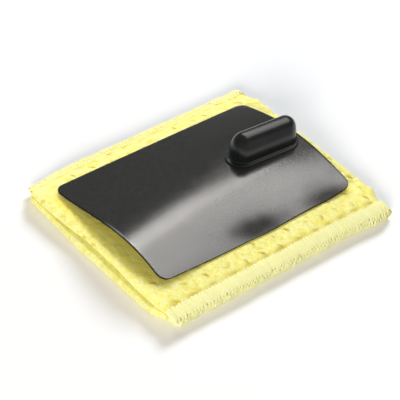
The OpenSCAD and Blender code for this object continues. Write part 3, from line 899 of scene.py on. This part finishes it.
def makeSeam(name, side, node):
    rng = np.random.default_rng(seam["seed"] + int(side > 0))
    p, edge, knot, needle = seam["pitch"], seam["edge"], seam["knotZ"], cloth["needleAt"]
    left = seam["frontLeft"] if side < 0 else seam["rearLeft"]
    threadR, thinner = seam["frontThread"] if side < 0 else seam["rearThread"]

    def leg(level, turnZ, knotZ):
        rise = seam["sunk"] if turnZ > knot else -seam["sunk"]
        line = [(share, needle + off) for share, off in seam["atNeedle"]] + list(seam["onBand"])
        line = [(share, y, float(level(np.array(y))) + rise) for share, y in line]
        for (share, off), z in zip(seam["overEdge"], (turnZ, (turnZ + knotZ) / 2, knotZ)):
            line.append((share, edge + off, z))
        return line + [(1.0 - share, y, z) for share, y, z in line[-2:0:-1]]

    upper = leg(topAt, seam["cornerTop"], knot + seam["knotApart"])
    lower = leg(soleAt, seam["cornerLow"], knot - seam["knotApart"])
    needleZ = float(topAt(np.array(needle)))
    needleRun = [(share, needle, needleZ + up) for share, up in seam["needleRun"]]
    chain = [(share, edge + off, knot + up) for share, off, up in seam["chain"]]
    parts = []
    for stitch, radius, start in ((upper, threadR, left), (lower, threadR, left - seam["lowOver"]),
                                  (needleRun, seam["needleR"], left), (chain, seam["chainR"], left)):
        points = []
        for k in range(int((seam["right"] - start) / p)):
            shift = rng.normal(0.0, seam["wander"], 3)
            for share, y, z in stitch:
                x = start + (k + share) * p + shift[0]
                points.append((x, side * (y + shift[1]), z + shift[2] * seam["wanderUp"]))
        path = throughPoints(np.array(points), seam["steps"])
        n = len(path)
        uneven = lumps(np.arange(n) * 1.0, np.zeros(n), seam["unevenRun"], seam["seed"])
        radii = radius * (1.0 + seam["uneven"] * uneven)
        radii *= 1.0 - thinner * past(np.abs(path[:, 1]), *seam["thinFrom"])
        row = np.full(n, start)
        path[:, 1] += seam["wave"] * lumps(path[:, 0], row, seam["waveRuns"][0], seam["seed"] + 3)
        swell = lumps(path[:, 0], row, seam["waveRuns"][1], seam["seed"] + 4)
        path[:, 2] += seam["wave"] * swell * past(np.abs(path[:, 1]), *seam["waveFrom"])
        low, top = soleAt(path[:, 1]), topAt(path[:, 1])
        path = asLaid(path, np.clip((path[:, 2] - low) / (top - low), 0.0, 1.0))
        path[:, 2] = np.maximum(path[:, 2], seam["clear"] * radius)
        parts.append(tube(path, radii, seam["sides"]))
    points, faces = joined(parts)
    piece = makePiece(name, points, faces, threadYellow, "cloth")
    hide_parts(node)
    return piece


frontSeam = makeSeam("front_overlock", -1.0, "front_overlock_seam")
rearSeam = makeSeam("rear_overlock", 1.0, "rear_overlock_seam")
print("seams made:", len(frontSeam.data.polygons), "and", len(rearSeam.data.polygons), "faces")


# Screws and washers keep their solids, with eased edges

hardware = dict(ease=0.18, easeSteps=3)
for name in ("knob_screws", "knob_washers"):
    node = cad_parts[name]
    node.data.materials.clear()
    node.data.materials.append(steelFinish)
    rounding = node.modifiers.new("ease", 'BEVEL')
    rounding.width = hardware["ease"] * mm
    rounding.segments = hardware["easeSteps"]
    rounding.limit_method = 'ANGLE'
print("screws and washers dressed")


# Floor, light and camera; the floor and the lamps are measured in metres

floor = dict(size=6.0, albedo=0.85)
softBox = dict(azimuth=10.0, elevation=60.0, distance=1.5, shift=0.7375, size=(0.375, 0.5), power=3.9,
               colour=(1.0, 0.97, 0.94), mirrored=True)
softMid = dict(softBox, shift=0.125, size=(0.85, 0.5), power=5.2)  # the same long box, dimmer along it
softEnd = dict(softBox, shift=-0.6125, size=(0.625, 0.5), power=2.85)
rear = dict(azimuth=55.0, elevation=42.0, distance=1.5, shift=0.0, size=(0.5, 0.5), power=9.5,
            colour=(1.0, 0.99, 0.97), mirrored=False)
back = dict(azimuth=85.0, elevation=14.0, distance=1.5, shift=0.0, size=(0.9, 0.3), power=13.5,
            colour=(1.0, 1.0, 0.99), mirrored=False)
fill = dict(azimuth=208.0, elevation=21.0, distance=1.5, shift=0.0, size=(0.8, 0.5), power=16.0,
            colour=(1.0, 1.0, 1.0), mirrored=False)
window = dict(azimuth=32.0, elevation=34.0, distance=3.0, shift=0.0, size=(0.9, 0.9), power=93.0,
              colour=(0.86, 0.92, 1.0), mirrored=False)
bounce = dict(azimuth=226.0, elevation=21.0, distance=3.0, shift=0.0, size=(1.2, 0.8), power=109.0,
              colour=(1.0, 0.94, 0.85), mirrored=False)
high = dict(azimuth=80.0, elevation=52.0, distance=3.0, shift=0.0, size=(1.2, 1.2), power=14.0,
            colour=(1.0, 0.91, 0.84), mirrored=False)
sky = dict(strength=0.16)
view = dict(
    place=(-470.64, -599.64, 615.27), target=(-1.0, 2.5, 0.0),
    lens=137.97, shiftX=-0.0082, shiftY=0.0123,
)


def makeFloor():
    mesh = bpy.data.meshes.new("floor")
    h = floor["size"] / 2
    mesh.from_pydata([(-h, -h, 0), (h, -h, 0), (h, h, 0), (-h, h, 0)], [], [(0, 1, 2, 3)])
    ground = bpy.data.objects.new("floor", mesh)
    scene.collection.objects.link(ground)
    m = nodeTree("floor_white")
    m.tree.nodes.remove(m.shader)
    white = m.add('ShaderNodeBsdfDiffuse', {'Color': (floor["albedo"],) * 3 + (1.0,)})
    m.tree.links.new(white.outputs[0], m.tree.nodes["Material Output"].inputs['Surface'])
    mesh.materials.append(m.material)
    return ground


def makeSky():
    world = bpy.data.worlds.new("studio")
    scene.world = world
    world.use_nodes = True
    world.node_tree.nodes["Background"].inputs['Strength'].default_value = sky["strength"]
    world.node_tree.nodes["Background"].inputs['Color'].default_value = (1.0, 1.0, 1.0, 1.0)


def makeLight(name, spec):
    a, e = math.radians(spec["azimuth"]), math.radians(spec["elevation"])
    toward = Vector((math.cos(a) * math.cos(e), math.sin(a) * math.cos(e), math.sin(e)))
    lamp = bpy.data.lights.new(name, 'AREA')
    lamp.shape = 'RECTANGLE'
    lamp.size, lamp.size_y = spec["size"]
    lamp.energy = spec["power"]
    lamp.color = spec["colour"]
    light = bpy.data.objects.new(name, lamp)
    aim = (-toward).to_track_quat('-Z', 'Y')
    light.location = toward * spec["distance"] + aim @ Vector((spec["shift"], 0.0, 0.0))
    light.rotation_euler = aim.to_euler()
    light.visible_glossy = spec["mirrored"]  # whether black gloss shows the lamp
    scene.collection.objects.link(light)
    return light


def makeCamera():
    lens = bpy.data.cameras.new("camera")
    lens.sensor_fit = 'HORIZONTAL'
    lens.sensor_width = 36.0
    lens.lens = view["lens"]
    lens.shift_x, lens.shift_y = view["shiftX"], view["shiftY"]
    camera = bpy.data.objects.new("camera", lens)
    place, target = Vector(view["place"]) * mm, Vector(view["target"]) * mm
    camera.location = place
    camera.rotation_euler = (target - place).to_track_quat('-Z', 'Y').to_euler()
    scene.collection.objects.link(camera)
    scene.camera = camera


ground = makeFloor()
makeSky()
tableOnly = bpy.data.collections.new("table_only")
tableOnly.objects.link(ground)
offTable = bpy.data.collections.new("off_table")
offTable.objects.link(ground)
offTable.collection_objects[0].light_linking.link_state = 'EXCLUDE'
for name, spec in (("soft_box", softBox), ("soft_mid", softMid), ("soft_end", softEnd), ("rear", rear),
                   ("back", back), ("fill", fill)):
    makeLight(name, spec).light_linking.receiver_collection = offTable
for name, spec in (("window", window), ("bounce", bounce), ("high", high)):
    makeLight(name, spec).light_linking.receiver_collection = tableOnly
makeCamera()
print("floor, light and camera set")
